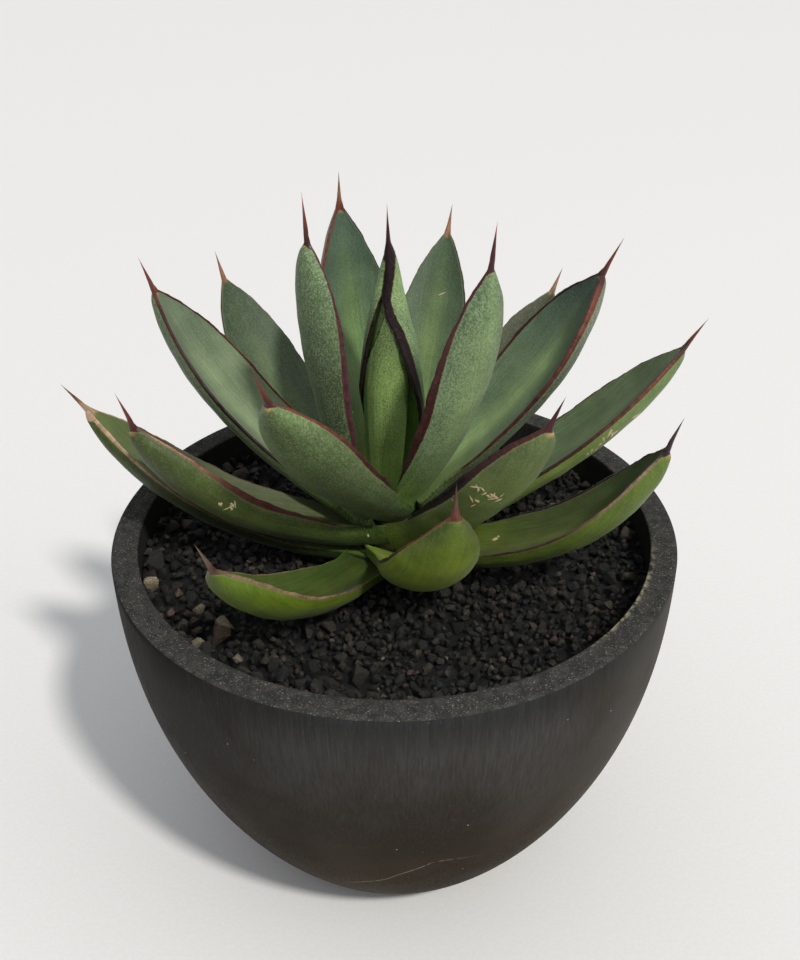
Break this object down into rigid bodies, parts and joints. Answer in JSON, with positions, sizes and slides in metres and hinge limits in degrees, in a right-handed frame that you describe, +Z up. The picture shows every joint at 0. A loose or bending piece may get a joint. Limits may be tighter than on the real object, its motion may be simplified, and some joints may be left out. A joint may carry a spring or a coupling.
{
  "type": "potted agave",
  "caption": "Young green lotus agave: a rosette of thick spine-tipped leaves with dark red margins, rooted in black lava grit in a plain dark bowl pot.",
  "frame": {"origin": "middle of the pot's underside, on the pot's axis", "axes": "+Z up, +X to the right of the pictured side, -Y towards the pictured side"},
  "size_m": [0.1761, 0.16, 0.215],
  "materials": {
    "pot_plastic": "matte",
    "lava_grit": "matte",
    "stem": "satin",
    "heart_leaf": "satin",
    "leaf": "satin"
  },
  "bodies": {
    "root": {"pot": "pot_plastic", "soil": "lava_grit", "stem": "stem", "heart_bud": "heart_leaf", "leaf_heart_wrap": "leaf", "leaf_upper_left": "leaf", "leaf_upper_front_right": "leaf", "leaf_upper_back_left": "leaf", "leaf_upper_back_right": "leaf", "leaf_middle_front_left": "leaf", "leaf_middle_right": "leaf", "leaf_middle_left": "leaf", "leaf_middle_back_left": "leaf", "leaf_middle_back_right": "leaf", "leaf_middle_front_right": "leaf", "leaf_lower_right": "leaf", "leaf_lower_left": "leaf", "leaf_lowest_left": "leaf", "leaf_lower_front_right": "leaf", "leaf_lower_front": "leaf", "leaf_lower_front_left": "leaf", "leaf_lower_back_left": "leaf", "leaf_lower_back": "leaf", "leaf_lower_back_right": "leaf"}
  },
  "joints": []
}
